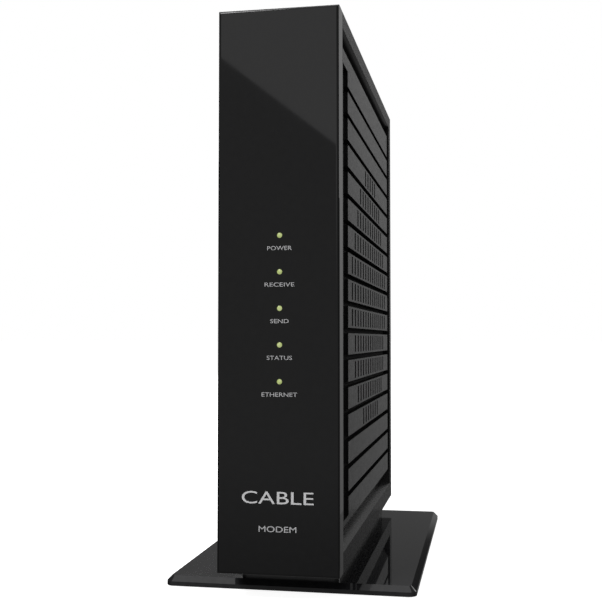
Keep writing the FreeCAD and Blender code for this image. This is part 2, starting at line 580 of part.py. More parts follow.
# ---- rear connectors ----------------------------------------------------------------------------------
def coax_body():
    """A square base behind the wall, a neck through it, and the threaded barrel outside."""
    base = box(-COAX_BASE_HALF, COAX_BASE_HALF, INSIDE_REAR - COAX_BASE_DEPTH, INSIDE_REAR,
               COAX_Z - COAX_BASE_HALF, COAX_Z + COAX_BASE_HALF)
    end = BACK + COAX_REACH
    thread_start = PORT_FACE + WASHER_THICK + NUT_THICK + COAX_NECK_PAST
    neck = rod(COAX_NECK_R, (0, INSIDE_REAR - BITE, COAX_Z), thread_start - INSIDE_REAR + 2 * BITE, Y)
    barrel = rod(COAX_R, (0, thread_start, COAX_Z), end - thread_start, Y)
    barrel = barrel.makeChamfer(COAX_BEVEL, edges_at(barrel, lambda p: abs(p.y - end) < NEAR))
    bore_start = INSIDE_REAR - COAX_BORE_DEPTH
    bore = rod(COAX_BORE, (0, bore_start, COAX_Z), end - bore_start + CUT, Y)
    return joined([base, neck, barrel]).cut(bore)


def coax_insulator():
    start = INSIDE_REAR - COAX_BORE_DEPTH
    end = BACK + COAX_REACH - INSULATOR_SET_BACK
    plug = rod(COAX_BORE, (0, start, COAX_Z), end - start, Y)
    contact_end = end - INSULATOR_SET_BACK
    seat = rod(CONTACT_R, (0, start - CUT, COAX_Z), contact_end - start + CUT, Y)
    entry = rod(INSULATOR_HOLE_R, (0, contact_end - CUT, COAX_Z), INSULATOR_SET_BACK + 2 * CUT, Y)
    return plug.cut([seat, entry])


def coax_contact():
    start = INSIDE_REAR - COAX_BORE_DEPTH
    end = BACK + COAX_REACH - 2 * INSULATOR_SET_BACK
    bore = rod(CONTACT_HOLE_R, (0, start + CONTACT_SOLID, COAX_Z), end - start, Y)
    return rod(CONTACT_R, (0, start, COAX_Z), end - start, Y).cut(bore)


def coax_washer():
    bore = rod(COAX_NECK_R + SEAM, (0, PORT_FACE - CUT, COAX_Z), WASHER_THICK + 2 * CUT, Y)
    return rod(WASHER_R, (0, PORT_FACE, COAX_Z), WASHER_THICK, Y).cut(bore)


def coax_nut():
    start = PORT_FACE + WASHER_THICK
    corner = NUT_FLATS / 2 / math.cos(math.pi / 6)
    turns = [i * math.pi / 3 for i in range(6)]
    corners = [V(corner * math.cos(turn), start, COAX_Z + corner * math.sin(turn)) for turn in turns]
    hexagon = prism(corners, Y * NUT_THICK)
    round_off = Part.makeCone(corner + NUT_CONE_OUT, corner - NUT_CONE_IN, NUT_THICK, V(0, start, COAX_Z), Y)
    bore = rod(COAX_NECK_R + SEAM / 2, (0, start - CUT, COAX_Z), NUT_THICK + 2 * CUT, Y)
    return hexagon.common(round_off).cut(bore)


def ethernet_shield():
    skirt = BOARD_FACE - SEAM / 2
    outer = box(-ETH_X, skirt, ETH_FRONT, ETH_FACE - ETH_SHIELD_BACK, ETHERNET_Z - ETH_Z, ETHERNET_Z + ETH_Z)
    return outer.cut(box(-ETH_X + ETH_SKIN, skirt + CUT, ETH_FRONT + ETH_SKIN, ETH_FACE + CUT,
                         ETHERNET_Z - ETH_Z + ETH_SKIN, ETHERNET_Z + ETH_Z - ETH_SKIN))


def ethernet_housing():
    """The socket's plastic block, with its mouth, stepped latch opening and contact slots."""
    gap = ETH_SKIN + ETH_FIT
    block = box(-ETH_X + gap, BOARD_FACE - SEAM / 2, ETH_FRONT + gap, ETH_FACE, ETHERNET_Z - ETH_Z + gap,
                ETHERNET_Z + ETH_Z - gap)
    deep = ETH_FACE - ETH_DEEP
    mouth = box(-ETH_MOUTH_X, ETH_MOUTH_X, deep, ETH_FACE + CUT, ETHERNET_Z - ETH_MOUTH_Z,
                ETHERNET_Z + ETH_MOUTH_Z)
    latch = [box(-ETH_MOUTH_X - reach, 0, deep, ETH_FACE + CUT, ETHERNET_Z - half, ETHERNET_Z + half)
             for half, reach in ETH_LATCH]
    slots = [box(ETH_MOUTH_X - SEAM, ETH_MOUTH_X + ETH_PIN_SLOT, deep, ETH_FACE - ETH_SLOT_START,
                 z - ETH_PIN_SLOT_HALF, z + ETH_PIN_SLOT_HALF) for z in ethernet_pin_heights()]
    return block.cut([mouth, *latch, *slots])


def ethernet_pin_heights():
    first = ETHERNET_Z - ETH_PIN_PITCH * (ETH_PINS - 1) / 2
    return [first + ETH_PIN_PITCH * i for i in range(ETH_PINS)]


def ethernet_contacts():
    """Eight spring wires that slope from the mouth into the socket."""
    high, low = ETH_MOUTH_X + WIRE_HIGH, ETH_MOUTH_X - WIRE_LOW
    front, back = ETH_FACE - WIRE_FRONT, ETH_FACE - ETH_DEEP + WIRE_BACK
    wire = [(high, front), (high + WIRE_THICK, front), (low + WIRE_THICK, back + WIRE_THICK), (low, back)]
    return together([prism([V(x, y, z - WIRE_WIDE / 2) for x, y in wire], Z * WIRE_WIDE)
                     for z in ethernet_pin_heights()])


def power_jack_housing():
    block = box(JACK_LEFT, BOARD_FACE, INSIDE_REAR - JACK_DEPTH, INSIDE_REAR, POWER_Z - JACK_HALF,
                POWER_Z + JACK_HALF)
    nose = rod(NOSE_R, (0, INSIDE_REAR - BITE, POWER_Z), PORT_FACE - INSIDE_REAR + BITE, Y)
    bore = rod(POWER_BORE, (0, PORT_FACE - POWER_DEEP, POWER_Z), POWER_DEEP + CUT, Y)
    return joined([block, nose]).cut(bore)


def power_jack_pin():
    pin = rod(POWER_PIN_R, (0, PORT_FACE - POWER_DEEP, POWER_Z), POWER_DEEP - POWER_PIN_BACK, Y)
    return pin.makeFillet(POWER_PIN_TIP_R, edges_at(pin, lambda p: p.y > PORT_FACE - POWER_PIN_BACK - NEAR))


def switch_body():
    """The switch's case with its flange, the well for the rocker, pivot sockets and two solder tails."""
    inside = PORT_FACE - SWITCH_DEPTH
    body = box(-SWITCH_HALF_X, SWITCH_HALF_X, inside, PORT_FACE + BITE, SWITCH_Z - SWITCH_HALF_Z,
               SWITCH_Z + SWITCH_HALF_Z)
    flange = rounded_plate("z", 0, SWITCH_FLANGE, -SWITCH_FLANGE_X, SWITCH_FLANGE_X, -SWITCH_FLANGE_Z,
                           SWITCH_FLANGE_Z, SWITCH_FLANGE_CORNER)
    flange = flange.makeChamfer(SWITCH_FLANGE_BEVEL, edges_at(flange, lambda p: p.z > SWITCH_FLANGE - NEAR))
    flange.Placement = FreeCAD.Placement(V(0, PORT_FACE, SWITCH_Z), FreeCAD.Rotation(X, -QUARTER_TURN))
    tails = [box(-TAIL_HALF_X, TAIL_HALF_X, inside - TAIL_REACH, inside + BITE, z - TAIL_HALF_Z,
                 z + TAIL_HALF_Z) for z in (SWITCH_Z - TAIL_AT, SWITCH_Z + TAIL_AT)]
    well_x, well_z = ROCKER_HALF_X + WELL_SIDE_GAP, ROCKER_HALF_Z + WELL_END_GAP
    well = box(-well_x, well_x, PORT_FACE - WELL_DEPTH, BACK + SWITCH_FLANGE + CUT, SWITCH_Z - well_z,
               SWITCH_Z + well_z)
    socket_end = SWITCH_HALF_X - PIVOT_SOCKET
    sockets = rod(PIVOT_R + PIVOT_GAP, (-socket_end, PIVOT_Y, SWITCH_Z), 2 * socket_end, X)
    return joined([body, flange, *tails]).cut([well, sockets])


def power_rocker():
    """The rocker, stored pressed in at its lower end."""
    outline = [(ROCKER_END, -ROCKER_HALF_Z), (ROCKER_DIP, 0), (ROCKER_END, ROCKER_HALF_Z),
               (ROCKER_SKIRT, ROCKER_SKIRT_Z), (ROCKER_UNDER, ROCKER_UNDER_Z),
               (ROCKER_UNDER, -ROCKER_UNDER_Z), (ROCKER_SKIRT, -ROCKER_SKIRT_Z)]
    rocker = prism([V(-ROCKER_HALF_X, y, z) for y, z in outline], X * 2 * ROCKER_HALF_X)
    rocker = rocker.makeFillet(ROCKER_EDGE_R, edges_at(rocker, lambda p: p.y > ROCKER_END - NEAR))
    pin_end = SWITCH_HALF_X - PIVOT_SOCKET - PIVOT_END
    rocker = joined([rocker, rod(PIVOT_R, (-pin_end, 0, 0), 2 * pin_end, X)])
    rocker.rotate(V(0, 0, 0), X, -ROCKER_THROW)
    return rocker.translated(V(0, PIVOT_Y, SWITCH_Z))


def reset_switch():
    body = box(-RESET_BODY_HALF, BOARD_FACE, RESET_BODY_BACK - RESET_BODY_DEPTH, RESET_BODY_BACK,
               RESET_Z - RESET_BODY_HALF, RESET_Z + RESET_BODY_HALF)
    bore = rod(RESET_R + RESET_GAP, (0, RESET_BODY_BACK - RESET_BORE, RESET_Z), RESET_BORE + CUT, Y)
    return body.cut(bore)


def reset_plunger():
    """Stored at rest, with room for its travel below it."""
    start = RESET_BODY_BACK - RESET_BORE + RESET_TRAVEL + RESET_BOTTOM_GAP
    end = BACK - REAR_WALL - RESET_REAR_GAP
    pin = rod(RESET_R, (0, start, RESET_Z), end - start, Y)
    return pin.makeFillet(RESET_TIP_R, edges_at(pin, lambda p: p.y > end - NEAR))


# ---- write the sub-parts ------------------------------------------------------------------------------
def build():
    plain = plain_cover()
    return {
        "front_bezel": front_bezel(),
        "housing_frame": housing_frame(),
        "right_cover": right_cover(plain),
        "left_cover": flipped(plain),
        "case_screws": case_screws(),
        "foot_plate": foot_plate(),
        "foot_neck": foot_neck(),
        "rubber_pads": rubber_pads(),
        "foot_screws": foot_screws(),
        "status_leds": status_leds(),
        "light_guides": light_guides(),
        "guide_holder": guide_holder(),
        "main_board": main_board(),
        "board_screws": board_screws(),
        "processor_chip": processor_chip(),
        "thermal_pad": thermal_pad(),
        "heat_sink": heat_sink(),
        "heat_sink_pins": heat_sink_pins(),
        "tuner_shield_frame": tuner_shield_frame(),
        "tuner_shield_lid": tuner_shield_lid(),
        "small_chips": small_chips(),
        "crystals": crystals(),
        "capacitors": capacitors(),
        "power_inductors": power_inductors(),
        "ethernet_transformer": ethernet_transformer(),
        "ethernet_shield": ethernet_shield(),
        "ethernet_housing": ethernet_housing(),
        "ethernet_contacts": ethernet_contacts(),
        "coax_body": coax_body(),
        "coax_insulator": coax_insulator(),
        "coax_contact": coax_contact(),
        "coax_washer": coax_washer(),
        "coax_nut": coax_nut(),
        "power_jack_housing": power_jack_housing(),
        "power_jack_pin": power_jack_pin(),
        "switch_body": switch_body(),
        "power_rocker": power_rocker(),
        "reset_switch": reset_switch(),
        "reset_plunger": reset_plunger(),
    }


def main():
    os.makedirs("parts", exist_ok=True)
    for name, shape in build().items():
        if not shape.isValid() or any(solid.Volume <= 0 for solid in shape.Solids):
            raise RuntimeError(f"{name} isn't a sound solid")
        shape.exportStep(f"parts/{name}.step")
        print(f"{name}: {len(shape.Solids)} solid(s), {sum(s.Volume for s in shape.Solids):.0f} mm3")


main()
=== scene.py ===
"""The looks of an upright cable modem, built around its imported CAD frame. Metres, +Z up, front along -Y."""

import math

import bmesh
import bpy
from mathutils import Euler, Matrix, Vector

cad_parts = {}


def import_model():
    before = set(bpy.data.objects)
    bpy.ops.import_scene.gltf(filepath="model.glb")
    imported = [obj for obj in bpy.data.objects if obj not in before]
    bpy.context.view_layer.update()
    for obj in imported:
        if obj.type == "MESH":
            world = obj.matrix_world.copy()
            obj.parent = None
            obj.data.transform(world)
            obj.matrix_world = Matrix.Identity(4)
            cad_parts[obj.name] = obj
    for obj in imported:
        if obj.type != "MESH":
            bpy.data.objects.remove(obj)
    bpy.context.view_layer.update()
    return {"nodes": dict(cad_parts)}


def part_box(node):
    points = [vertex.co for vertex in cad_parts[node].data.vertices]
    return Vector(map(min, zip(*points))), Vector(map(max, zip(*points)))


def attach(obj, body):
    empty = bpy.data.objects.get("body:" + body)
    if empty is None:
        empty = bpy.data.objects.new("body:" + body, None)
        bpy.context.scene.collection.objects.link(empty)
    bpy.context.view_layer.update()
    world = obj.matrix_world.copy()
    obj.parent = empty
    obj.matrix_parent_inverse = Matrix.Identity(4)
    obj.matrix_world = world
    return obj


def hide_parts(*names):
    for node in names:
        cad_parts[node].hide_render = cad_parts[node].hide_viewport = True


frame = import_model()
nodes = frame["nodes"]
MM = 0.001

# ---- where things are, read from the frame -------------------------------------------------------------
FACE_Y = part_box("front_bezel")[0].y
lamp_low, lamp_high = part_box("light_guides")
cover_low, cover_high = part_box("right_cover")
COVER_LIP = 2.0 * MM       # how far the cover's edge runs on under the casing frame
SLOPE_RISE = 8.4 * MM      # from the cover's lowest point to the top of its lower slope
GROOVE_MOUTH = 0.2 * MM    # the depth where the painted shade in a groove starts
GROOVE_FLOOR = 1.8 * MM    # and where the painted shade is darkest
MASK_EDGE = 0.2 * MM       # over what length the painted groove shade fades out along the casing
MASK_TOP_GAP = 0.3 * MM
MASK_REAR_GAP = 0.1 * MM
# specular level and roughness at the bottom of the grooves, where shade is painted in
GROOVE_SHADE_SPECULAR, GROOVE_SHADE_ROUGHNESS = 0.08, 0.65
LIGHT_COUNT = 5
LIGHT_RADIUS = 0.85 * MM
LIGHT_X = 0.6 * MM
LIGHT_TOP = lamp_high.z - LIGHT_RADIUS
LIGHT_PITCH = (lamp_high.z - lamp_low.z - 2 * LIGHT_RADIUS) / (LIGHT_COUNT - 1)


# ---- node helpers --------------------------------------------------------------------------------------
RANGE_SOCKETS = ("From Min", "From Max", "To Min", "To Max")
MIDDLE = (0.3, 0.7)        # where most values of a noise lie
PLASTIC_IOR, PLASTIC_SPECULAR = 1.5, 0.5


class Shader:
    """A principled material with a few short-hands for its procedural detail."""

    def __init__(self, name, base, rough, metal=0.0):
        self.m = bpy.data.materials.new(name)
        self.m.use_nodes = True
        self.m.diffuse_color = (*base, 1.0)
        self.t = self.m.node_tree
        self.bsdf = self.t.nodes["Principled BSDF"]
        self.set("Base Color", (*base, 1.0))
        self.set("Roughness", rough)
        self.set("Metallic", metal)
        self.set("IOR", PLASTIC_IOR)
        self.coord = self.add("ShaderNodeTexCoord").outputs["Object"]
        self.height = None

    def add(self, kind, **values):
        node = self.t.nodes.new(kind)
        for key, value in values.items():
            if hasattr(node, key):
                setattr(node, key, value)
            else:
                node.inputs[key.replace("_", " ")].default_value = value
        return node

    def set(self, socket, value):
        self.bsdf.inputs[socket].default_value = value

    def link(self, output, socket):
        self.t.links.new(output, socket)

    def stretched(self, scale):
        node = self.add("ShaderNodeMapping")
        node.inputs["Scale"].default_value = scale
        self.link(self.coord, node.inputs["Vector"])
        return node.outputs["Vector"]

    def noise(self, scale, detail=3.0, rough=0.5, stretch=None):
        node = self.add("ShaderNodeTexNoise", Scale=scale, Detail=detail, Roughness=rough)
        self.link(self.stretched(stretch) if stretch else self.coord, node.inputs["Vector"])
        return node.outputs["Fac"]

    def cells(self, scale):
        node = self.add("ShaderNodeTexVoronoi", feature="F1", Scale=scale)
        self.link(self.coord, node.inputs["Vector"])
        return node.outputs["Distance"]

    def math(self, operation, *values):
        node = self.add("ShaderNodeMath", operation=operation)
        for socket, value in zip(node.inputs, values):
            self.link(value, socket)
        return node.outputs["Value"]

    def ranged(self, value, low, high, to_low, to_high):
        node = self.add("ShaderNodeMapRange")
        for socket, number in zip(RANGE_SOCKETS, (low, high, to_low, to_high)):
            node.inputs[socket].default_value = number
        self.link(value, node.inputs["Value"])
        return node.outputs["Result"]

    def rough(self, value, low, high, spread=MIDDLE):
        """Roughness between low and high, as the value goes from one end of its spread to the other."""
        self.link(self.ranged(value, *spread, low, high), self.bsdf.inputs["Roughness"])

    def tint(self, value, dark, light, spread=MIDDLE):
        """Base colour between dark and light, as the value goes from one end of its spread to the other."""
        ramp = self.add("ShaderNodeValToRGB")
        ends = ramp.color_ramp.elements
        for end, position, colour in zip(ends, spread, (dark, light)):
            end.position = position
            end.color = (*colour, 1.0)
        self.link(value, ramp.inputs["Fac"])
        self.link(ramp.outputs["Color"], self.bsdf.inputs["Base Color"])
        return ramp.outputs["Color"]

    def bump(self, value, distance, strength=1.0):
        """Adds a relief of this depth in metres on top of those already there."""
        node = self.add("ShaderNodeBump", Strength=strength, Distance=distance)
        self.link(value, node.inputs["Height"])
        if self.height is not None:
            self.link(self.height, node.inputs["Normal"])
        self.height = node.outputs["Normal"]
        self.link(self.height, self.bsdf.inputs["Normal"])


def painted_groove_shade(s, in_frame):
    """Mask for painted shade: 1 down in the side grooves and slots, 0 on the outer surface and on the lower
    slopes.
    """
    axes = s.add("ShaderNodeSeparateXYZ")
    s.link(s.coord, axes.inputs["Vector"])
    aside, along, up = s.math("ABSOLUTE", axes.outputs["X"]), axes.outputs["Y"], axes.outputs["Z"]
    slope_top = cover_low.z + SLOPE_RISE
    deep = s.ranged(aside, cover_high.x - GROOVE_FLOOR, cover_high.x - GROOVE_MOUTH, 1.0, 0.0)
    limits = [s.ranged(up, slope_top - MASK_EDGE, slope_top, 0.0, 1.0)]
    if in_frame:
        top, rear = cover_high.z - MASK_TOP_GAP, cover_high.y - COVER_LIP + MASK_REAR_GAP
        limits.append(s.ranged(up, top, top + MASK_EDGE, 1.0, 0.0))
        limits.append(s.ranged(along, rear, rear + MASK_EDGE, 1.0, 0.0))
    for limit in limits:
        deep = s.math("MULTIPLY", deep, limit)
    return deep


def polished_black(name="polished_black", base=0.0042):
    """Piano-black plastic, with faint differences in tone and gloss."""
    s = Shader(name, (base, base, base * 1.07), 0.04)
    dark, light = (base * 0.8, base * 0.8, base * 0.87), (base * 1.15, base * 1.15, base * 1.22)
    s.tint(s.noise(420.0, 4.0), dark, light, spread=(0.35, 0.7))
    s.rough(s.noise(70.0, 5.0, 0.6), low=0.025, high=0.05, spread=(0.3, 0.75))
    s.bump(s.noise(60.0, 1.0), 0.002 * MM, 0.2)
    return s.m


def moulded_black(name, base=0.0095, low=0.24, high=0.3, in_frame=None):
    """Fine spark-eroded plastic. in_frame paints shade into the side grooves, as lower specular and higher
    roughness: True in the casing, False in a cover.
    """
    s = Shader(name, (base, base, base * 1.03), 0.36)
    dark, light = (base * 0.8,) * 3, (base * 1.25, base * 1.25, base * 1.3)
    s.tint(s.noise(90.0, 5.0, 0.6), dark, light, spread=(0.3, 0.72))
    sheen = s.ranged(s.noise(600.0, 4.0, 0.55), *MIDDLE, low, high)
    if in_frame is not None:
        deep = painted_groove_shade(s, in_frame)
        # painted shade: the side grooves lose specular and gain roughness with depth, standing in for their
        # occlusion
        shaded_specular = s.ranged(deep, 0.0, 1.0, PLASTIC_SPECULAR, GROOVE_SHADE_SPECULAR)
        s.link(shaded_specular, s.bsdf.inputs["Specular IOR Level"])
        sheen = s.math("MAXIMUM", sheen, s.ranged(deep, 0.0, 1.0, 0.0, GROOVE_SHADE_ROUGHNESS))
    s.link(sheen, s.bsdf.inputs["Roughness"])
    s.bump(s.noise(2600.0, 3.0, 0.6), 0.04 * MM, 0.35)
    s.bump(s.cells(1500.0), 0.04 * MM, 0.2)
    return s.m


def rubber_black():
    s = Shader("pad_rubber", (0.02, 0.02, 0.02), 0.75)
    s.tint(s.noise(900.0, 4.0), (0.014, 0.014, 0.014), (0.03, 0.03, 0.03))
    s.bump(s.noise(1800.0, 4.0), 0.06 * MM, 0.5)
    return s.m


def metal(name, dark, light, low, high, grain=900.0, stretch=(1.0, 14.0, 1.0), depth=0.02 * MM):
    """Fine streaks between two tones, of this grain per metre and drawn out by stretch."""
    s = Shader(name, light, (low + high) / 2, 1.0)
    streaks = s.noise(grain, 5.0, 0.6, stretch)
    s.tint(streaks, dark, light, spread=(0.3, 0.72))
    s.rough(s.noise(260.0, 4.0), low, high)
    s.bump(streaks, depth, 0.3)
    return s.m


def plastic(name, dark, light, low, high, grain=1200.0):
    """Mottled between two tones, with a fine relief of this grain per metre."""
    s = Shader(name, light, (low + high) / 2)
    s.tint(s.noise(180.0, 5.0, 0.6), dark, light)
    s.rough(s.noise(320.0, 4.0), low, high)
    s.bump(s.noise(grain, 3.0), 0.03 * MM, 0.3)
    return s.m


def circuit_board():
    """Green solder resist over copper runs, with via dots."""
    s = Shader("circuit_board", (0.01, 0.09, 0.04), 0.3)
    runs = s.add("ShaderNodeTexBrick", offset=0.5, squash=2.0, squash_frequency=3)
    layout = {"Scale": 150.0, "Mortar Size": 0.045, "Mortar Smooth": 0.1, "Brick Width": 1.4,
              "Row Height": 0.35}
    for socket, value in layout.items():
        runs.inputs[socket].default_value = value
    turn = s.add("ShaderNodeMapping")
    turn.inputs["Rotation"].default_value = (0.0, math.pi / 2, 0.0)
    s.link(s.coord, turn.inputs["Vector"])
    s.link(turn.outputs["Vector"], runs.inputs["Vector"])
    vias = s.ranged(s.cells(420.0), 0.12, 0.2, 1.0, 0.0)
    both = s.math("MAXIMUM", runs.outputs["Fac"], vias)
    s.tint(both, (0.006, 0.07, 0.03), (0.02, 0.17, 0.075), spread=(0.2, 0.8))
    s.rough(s.noise(150.0, 3.0), low=0.2, high=0.34)
    s.bump(both, 0.04 * MM, 0.6)
    return s.m


def lit_guide():
    """Clear plastic lit from behind, its yellow-green glow slightly uneven."""
    s = Shader("lit_guide", (0.2, 0.3, 0.08), 0.25)
    glow = s.tint(s.noise(1500.0, 2.0), (0.28, 0.37, 0.09), (0.46, 0.5, 0.25), spread=(0.2, 0.8))
    s.link(glow, s.bsdf.inputs["Emission Color"])
    s.set("Emission Strength", 0.6)
    return s.m


def lamp_plastic():
    s = Shader("lamp_plastic", (0.8, 0.85, 0.6), 0.2)
    s.tint(s.noise(1500.0, 2.0), (0.7, 0.78, 0.45), (0.85, 0.9, 0.68))
    s.set("Emission Color", (0.55, 0.8, 0.15, 1.0))
    s.set("Emission Strength", 1.5)
    s.bump(s.noise(1500.0), 0.02 * MM, 0.3)
    return s.m


def print_ink():
    """Screen-printed grey ink, a little uneven."""
    s = Shader("print_ink", (0.6, 0.6, 0.61), 0.45)
    s.tint(s.noise(5000.0, 3.0), (0.5, 0.5, 0.51), (0.68, 0.68, 0.69), spread=(0.25, 0.75))
    s.bump(s.noise(6000.0), 0.01 * MM, 0.3)
    return s.m


def silver_print():
    """Brighter, smoother print."""
    s = Shader("silver_print", (0.8, 0.8, 0.81), 0.35)
    s.tint(s.noise(3000.0, 3.0), (0.7, 0.7, 0.71), (0.86, 0.86, 0.87), spread=(0.25, 0.75))
    s.rough(s.noise(2000.0), low=0.3, high=0.42)
    return s.m


# ---- materials on the CAD nodes ------------------------------------------------------------------------
EVEN, UPRIGHT = (1.0, 1.0, 1.0), (1.0, 1.0, 0.08)      # which way a metal's grain is drawn out
PLATED = {"grain": 1400.0, "stretch": EVEN, "depth": 0.01 * MM}

POLISHED = polished_black()
FOOT_POLISHED = polished_black("polished_foot", base=0.02)
CASING = moulded_black("moulded_casing", in_frame=True)
COVER = moulded_black("moulded_cover", base=0.011, low=0.17, high=0.23, in_frame=False)
NECK = moulded_black("moulded_neck", base=0.03, low=0.2, high=0.26)
SHADOW_BLACK = moulded_black("moulded_inner_black", base=0.006, low=0.4, high=0.55)
BLACK_METAL = metal("black_oxide", (0.03, 0.03, 0.032), (0.075, 0.075, 0.08), low=0.3, high=0.45)
TINNED = metal("tinned_steel", (0.5, 0.5, 0.48), (0.72, 0.72, 0.7), low=0.25, high=0.42)
NICKEL = metal("nickel_plate", (0.55, 0.53, 0.49), (0.78, 0.76, 0.71), low=0.14, high=0.28, **PLATED)
GOLD = metal("gold_plate", (0.65, 0.42, 0.12), (0.9, 0.66, 0.26), low=0.16, high=0.3, **PLATED)
SINK = metal("anodised_sink", (0.5, 0.51, 0.53), (0.7, 0.71, 0.73), low=0.32, high=0.45, grain=700.0,
             stretch=UPRIGHT)
CHIP = plastic("chip_epoxy", (0.018, 0.018, 0.02), (0.032, 0.032, 0.035), low=0.42, high=0.6, grain=3000.0)
FERRITE = plastic("ferrite", (0.06, 0.06, 0.065), (0.12, 0.12, 0.125), low=0.5, high=0.7)
NYLON = plastic("natural_nylon", (0.62, 0.61, 0.55), (0.78, 0.77, 0.72), low=0.3, high=0.45)
PTFE = plastic("white_insulator", (0.72, 0.72, 0.68), (0.85, 0.85, 0.81), low=0.35, high=0.5)
SILICONE = plastic("silicone_pad", (0.3, 0.34, 0.42), (0.42, 0.47, 0.56), low=0.6, high=0.8)
RED = plastic("red_plunger", (0.35, 0.02, 0.015), (0.5, 0.04, 0.03), low=0.3, high=0.45)
SLEEVE = plastic("capacitor_sleeve", (0.015, 0.018, 0.03), (0.03, 0.035, 0.055), low=0.25, high=0.4)
SOCKET = plastic("socket_black", (0.008, 0.008, 0.009), (0.015, 0.015, 0.016), low=0.22, high=0.34)

FINISHES = {
    "front_bezel": POLISHED, "foot_plate": FOOT_POLISHED, "housing_frame": CASING, "right_cover": COVER,
    "left_cover": COVER, "foot_neck": NECK, "guide_holder": SHADOW_BLACK, "rubber_pads": rubber_black(),
    "case_screws": BLACK_METAL, "foot_screws": BLACK_METAL, "board_screws": BLACK_METAL,
    "status_leds": lamp_plastic(), "light_guides": lit_guide(), "main_board": circuit_board(),
    "processor_chip": CHIP, "small_chips": CHIP, "ethernet_transformer": CHIP, "thermal_pad": SILICONE,
    "heat_sink": SINK, "heat_sink_pins": NYLON, "tuner_shield_frame": TINNED, "tuner_shield_lid": TINNED,
    "ethernet_shield": TINNED, "crystals": TINNED, "capacitors": SLEEVE, "power_inductors": FERRITE,
    "ethernet_housing": SOCKET, "ethernet_contacts": GOLD, "coax_contact": GOLD, "coax_body": NICKEL,
    "coax_washer": NICKEL, "coax_nut": NICKEL, "power_jack_pin": NICKEL, "coax_insulator": PTFE,
    "power_jack_housing": SOCKET, "switch_body": CHIP, "reset_switch": CHIP, "power_rocker": SOCKET,
    "reset_plunger": RED,
}
for name, node in nodes.items():
    node.data.materials.clear()
    node.data.materials.append(FINISHES[name])


# ---- lettering -----------------------------------------------------------------------------------------
def lettering(name, words, centre_z, width, height, material, centre_x=0.0):
    """Flat printed words on the front face, fitted to this width and capital height."""
    curve = bpy.data.curves.new(name, "FONT")
    curve.body = words
    curve.align_x, curve.align_y = "CENTER", "CENTER"
    curve.size = 1.0
    curve.resolution_u = 4
    text = bpy.data.objects.new(name + "_curve", curve)
    bpy.context.scene.collection.objects.link(text)
    bpy.context.view_layer.update()
    mesh = bpy.data.meshes.new_from_object(text.evaluated_get(bpy.context.evaluated_depsgraph_get()))
    bpy.data.objects.remove(text)
    mesh.name = name
    xs, ys = [v.co.x for v in mesh.vertices], [v.co.y for v in mesh.vertices]
    middle = Vector(((min(xs) + max(xs)) / 2, (min(ys) + max(ys)) / 2, 0.0))
    grow = Vector((width / (max(xs) - min(xs)), height / (max(ys) - min(ys)), 1.0))
    for v in mesh.vertices:
        flat = v.co - middle
        v.co = Vector((centre_x + flat.x * grow.x, FACE_Y - PRINT_PROUD, centre_z + flat.y * grow.y))
    piece = bpy.data.objects.new(name, mesh)
    bpy.context.scene.collection.objects.link(piece)
    mesh.materials.clear()
    mesh.materials.append(material)
    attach(piece, "modem")


PRINT_PROUD = 0.02 * MM    # how far the print stands out from the face
LABEL_DROP = 4.25 * MM     # from a light's middle down to its label's
LABEL_HEIGHT = 1.35 * MM
LABELS = (("POWER", 8.3), ("RECEIVE", 10.0), ("SEND", 6.2), ("STATUS", 8.5), ("ETHERNET", 11.9))
LARGE_WORD = {"centre_z": 34.8 * MM, "width": 24.0 * MM, "height": 4.1 * MM}
SMALL_WORD = {"centre_z": 24.6 * MM, "width": 12.6 * MM, "height": 1.9 * MM}

ink, silver = print_ink(), silver_print()
for i, (words, width) in enumerate(LABELS):
    label_z = LIGHT_TOP - LIGHT_PITCH * i - LABEL_DROP
    lettering("label_" + words.lower(), words, label_z, width * MM, LABEL_HEIGHT, ink, LIGHT_X)
lettering("front_word_large", "CABLE", material=silver, **LARGE_WORD)
lettering("front_word_small", "MODEM", material=ink, **SMALL_WORD)


# ---- threaded coaxial connector ------------------------------------------------------------------------
CONNECTOR_BASE_DEPTH = 14.0 * MM
CONNECTOR_BORE_R, CONNECTOR_BORE_DEPTH = 3.4 * MM, 8.0 * MM
CONNECTOR_NECK_R, CONNECTOR_NECK_LENGTH = 4.6 * MM, 5.4 * MM
THREAD_CREST_R, THREAD_ROOT_R = 4.7625 * MM, 4.4 * MM
THREAD_PITCH = 0.794 * MM
THREAD_FLANK = (0.05 * MM, 0.7 * MM)       # where a ridge leaves the root and comes back to it
THREAD_CREST = (0.3 * MM, 0.42 * MM)       # where its crest starts and ends
THREAD_RUNOUT = 0.4 * MM                   # the plain bevelled end


def tube(name, outline, centre_x, centre_z, segments=96):
    """The closed (y, radius) outline turned around an axis along Y through this x and z."""
    points, faces = [], []
    for j in range(segments):
        turn = 2 * math.pi * j / segments
        points += [(centre_x + r * math.cos(turn), y, centre_z + r * math.sin(turn)) for y, r in outline]
    count = len(outline)
    for j in range(segments):
        here, there = j * count, (j + 1) % segments * count
        for i in range(count):
            following = (i + 1) % count
            faces.append((here + i, there + i, there + following, here + following))
    mesh = bpy.data.meshes.new(name)
    mesh.from_pydata(points, [], faces)
    mesh.update()
    return mesh


def thread(first, last):
    """The (y, radius) points of a thread's profile, a whole number of ridges from first towards last."""
    points = []
    for i in range(int((last - first) / THREAD_PITCH)):
        start = first + THREAD_PITCH * i
        points += [(start + THREAD_FLANK[0], THREAD_ROOT_R), (start + THREAD_CREST[0], THREAD_CREST_R),
                   (start + THREAD_CREST[1], THREAD_CREST_R), (start + THREAD_FLANK[1], THREAD_ROOT_R)]
    return points


